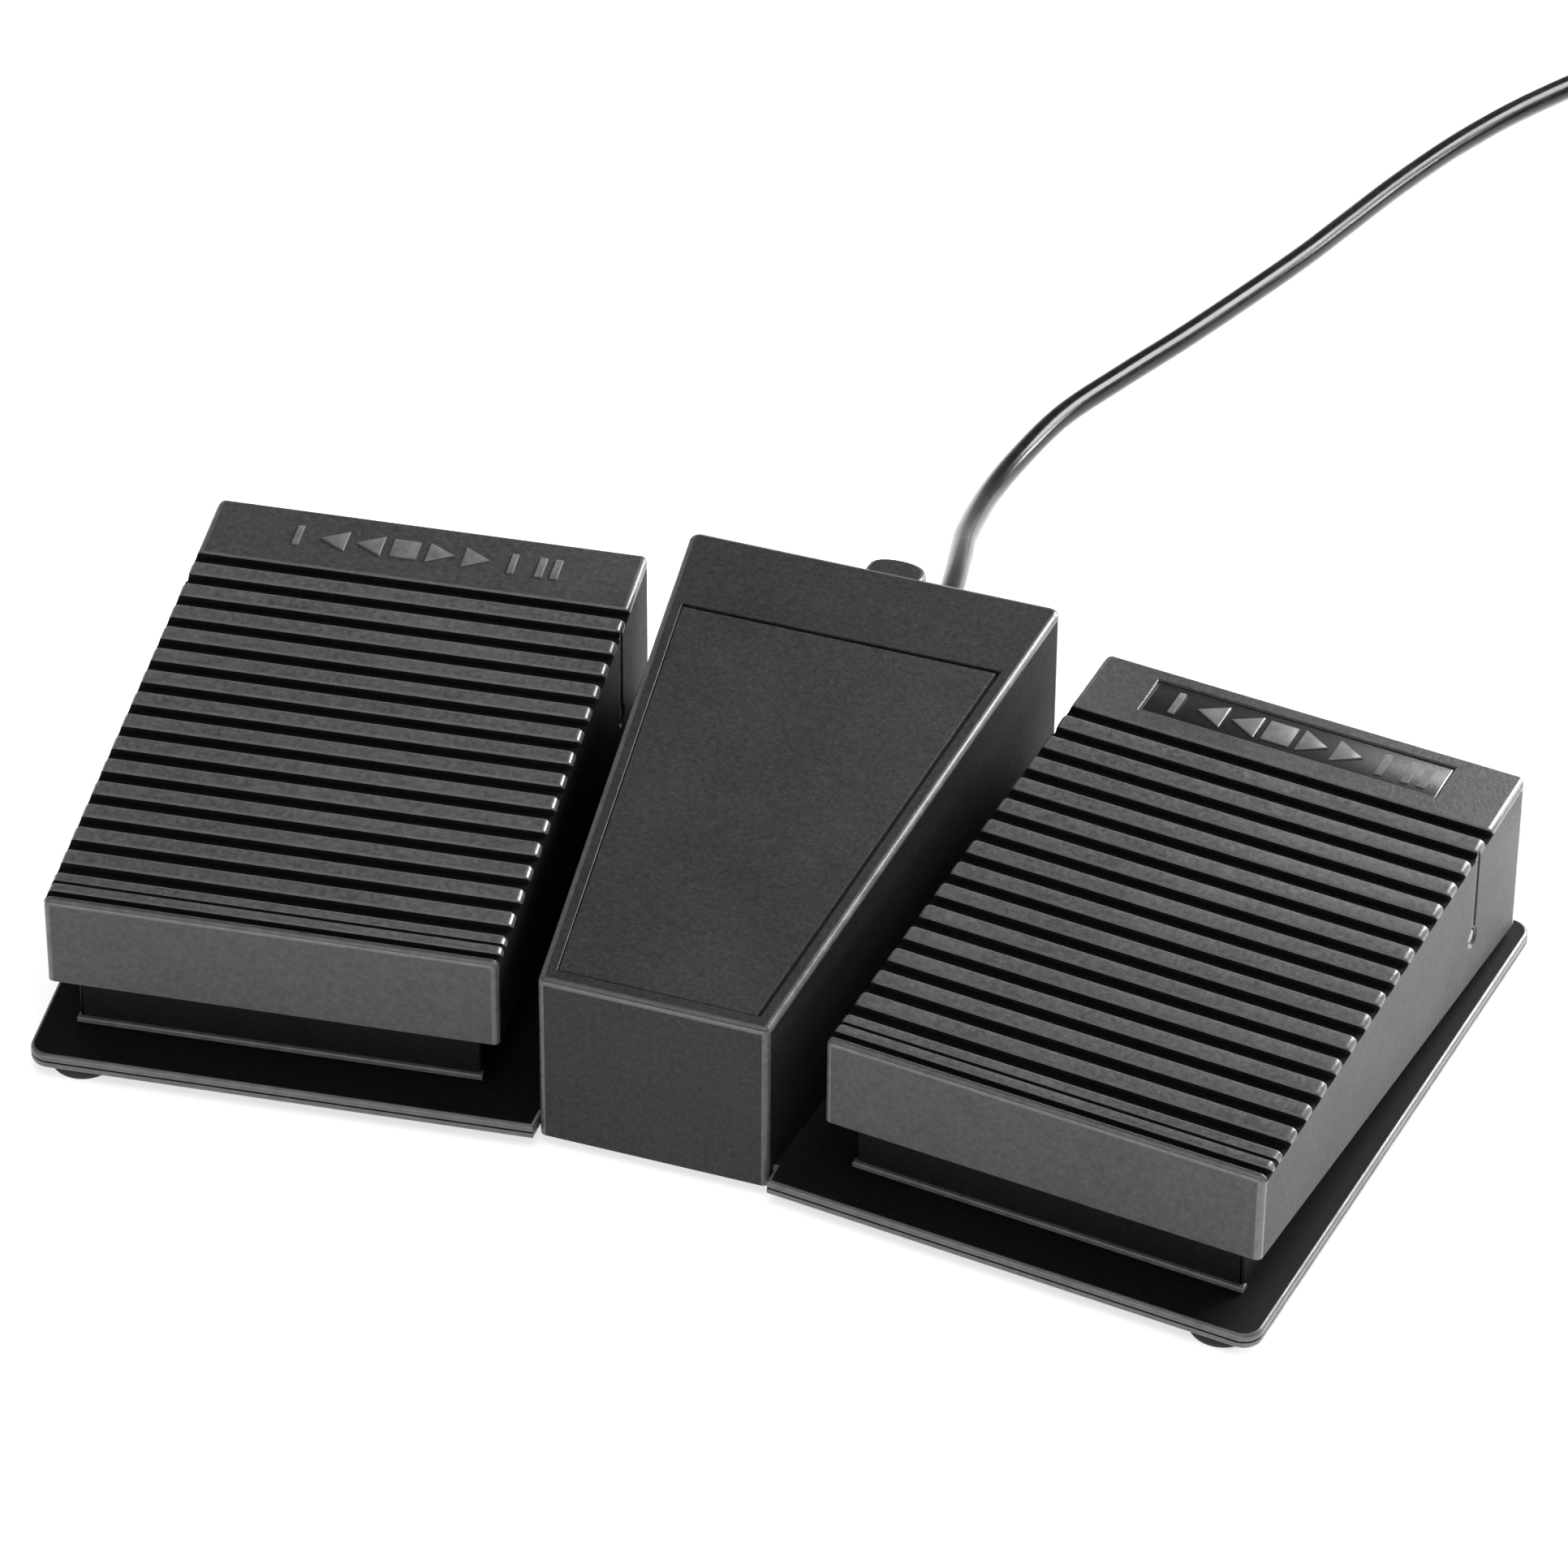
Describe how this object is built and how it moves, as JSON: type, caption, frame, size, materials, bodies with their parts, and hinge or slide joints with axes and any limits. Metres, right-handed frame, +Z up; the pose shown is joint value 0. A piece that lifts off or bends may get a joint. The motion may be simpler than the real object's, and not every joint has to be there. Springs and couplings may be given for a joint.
{
  "type": "two-pedal dictation foot control",
  "caption": "Low two-pedal foot control of a dictation machine: ribbed splayed pedals on a base plate, wedge-shaped centre housing and cable with a small plug.",
  "frame": {"origin": "on the floor under the middle of the unit's box, measured without the cable, its coil and its plug", "axes": "+X to the operator's right, +Y towards the rear where the cable leaves, +Z up"},
  "size_m": [0.2968, 0.4599, 0.0517],
  "materials": {
    "housing_plastic": "fine-grained matt moulding",
    "panel_plastic": "fine-grained matt moulding",
    "pedal_plastic": "fine-grained matt moulding with ribs",
    "base_plastic": "fine-grained matt moulding",
    "label_plastic": null,
    "black_rubber": "matt rubber",
    "plated_steel": "zinc-plated",
    "nickel": "bright nickel plate",
    "switch_plastic": "smooth moulding",
    "plunger_plastic": "smooth red moulding",
    "board_laminate": "paper laminate",
    "terminal_nylon": "natural nylon",
    "resistor_coat": "lacquered",
    "clamp_nylon": "black nylon",
    "cable_jacket": "glossy flexible PVC",
    "wire_insulation": "red PVC",
    "tie_strap": "woven hook-and-loop strap"
  },
  "bodies": {
    "base": {"base_plate": "base_plastic", "foot_front_left": "black_rubber", "foot_front_right": "black_rubber", "foot_rear_left": "black_rubber", "foot_rear_right": "black_rubber", "centre_housing": "housing_plastic", "housing_top_panel": "panel_plastic", "housing_screw_front": "plated_steel", "housing_screw_rear_left": "plated_steel", "housing_screw_rear_right": "plated_steel", "junction_board": "board_laminate", "board_screw_front": "plated_steel", "board_screw_rear": "plated_steel", "left_terminal": "terminal_nylon", "right_terminal": "terminal_nylon", "cable_terminal": "terminal_nylon", "left_resistor": "resistor_coat", "right_resistor": "resistor_coat", "cable_clamp": "clamp_nylon", "clamp_screw": "plated_steel", "inner_cable": "cable_jacket", "strain_relief": "black_rubber", "left_plinth": "base_plastic", "left_plinth_screw_front": "plated_steel", "left_plinth_screw_rear": "plated_steel", "left_hinge_pin": "plated_steel", "left_return_spring": "plated_steel", "left_down_stop": "black_rubber", "left_up_stop": "black_rubber", "left_switch_body": "switch_plastic", "left_switch_bracket": "plated_steel", "left_switch_screw_front": "plated_steel", "left_switch_screw_rear": "plated_steel", "left_switch_lead": "wire_insulation", "right_plinth": "base_plastic", "right_plinth_screw_front": "plated_steel", "right_plinth_screw_rear": "plated_steel", "right_hinge_pin": "plated_steel", "right_return_spring": "plated_steel", "right_down_stop": "black_rubber", "right_up_stop": "black_rubber", "right_switch_body": "switch_plastic", "right_switch_bracket": "plated_steel", "right_switch_screw_front": "plated_steel", "right_switch_screw_rear": "plated_steel", "right_switch_lead": "wire_insulation", "cable": "cable_jacket", "cable_coil": "cable_jacket", "cable_tie": "tie_strap", "cable_tail": "cable_jacket", "plug_body": "cable_jacket", "plug_pin": "nickel"},
    "left_pedal": {"left_pedal": "pedal_plastic"},
    "left_lever": {"left_switch_lever": "plated_steel"},
    "left_plunger": {"left_switch_plunger": "plunger_plastic"},
    "right_pedal": {"right_pedal": "pedal_plastic", "right_label_plate": "label_plastic"},
    "right_lever": {"right_switch_lever": "plated_steel"},
    "right_plunger": {"right_switch_plunger": "plunger_plastic"}
  },
  "joints": [
    {"name": "left_pedal_hinge", "type": "hinge", "parent": "base", "child": "left_pedal", "pos_m": [-0.08817, 0.04019, 0.0209], "axis": [0.9925, 0.1219, 0], "range_deg": [0, 6.2], "stiffness_Nm_per_rad": 2, "springref_deg": -8.59, "deforming": ["left_return_spring"]},
    {"name": "left_lever_hinge", "type": "hinge", "parent": "base", "child": "left_lever", "pos_m": [-0.06895, 0.02149, 0.0183], "axis": [0.9925, 0.1219, 0], "range_deg": [0, 14.6]},
    {"name": "left_plunger_slide", "type": "slide", "parent": "base", "child": "left_plunger", "axis": [0, 0, -1], "range_m": [0, 0.001]},
    {"name": "right_pedal_hinge", "type": "hinge", "parent": "base", "child": "right_pedal", "pos_m": [0.08817, 0.04019, 0.0209], "axis": [0.9925, -0.1219, 0], "range_deg": [0, 6.2], "stiffness_Nm_per_rad": 2, "springref_deg": -8.59, "deforming": ["right_return_spring"]},
    {"name": "right_lever_hinge", "type": "hinge", "parent": "base", "child": "right_lever", "pos_m": [0.06895, 0.02149, 0.0183], "axis": [0.9925, -0.1219, 0], "range_deg": [0, 14.6]},
    {"name": "right_plunger_slide", "type": "slide", "parent": "base", "child": "right_plunger", "axis": [0, 0, -1], "range_m": [0, 0.001]}
  ],
  "couplings": [
    {"joint": "left_lever_hinge", "follows": "left_pedal_hinge", "ratio": 2.33},
    {"joint": "left_plunger_slide", "follows": "left_pedal_hinge", "m_per_rad": 0.008317},
    {"joint": "right_lever_hinge", "follows": "right_pedal_hinge", "ratio": 2.33},
    {"joint": "right_plunger_slide", "follows": "right_pedal_hinge", "m_per_rad": 0.008317}
  ]
}
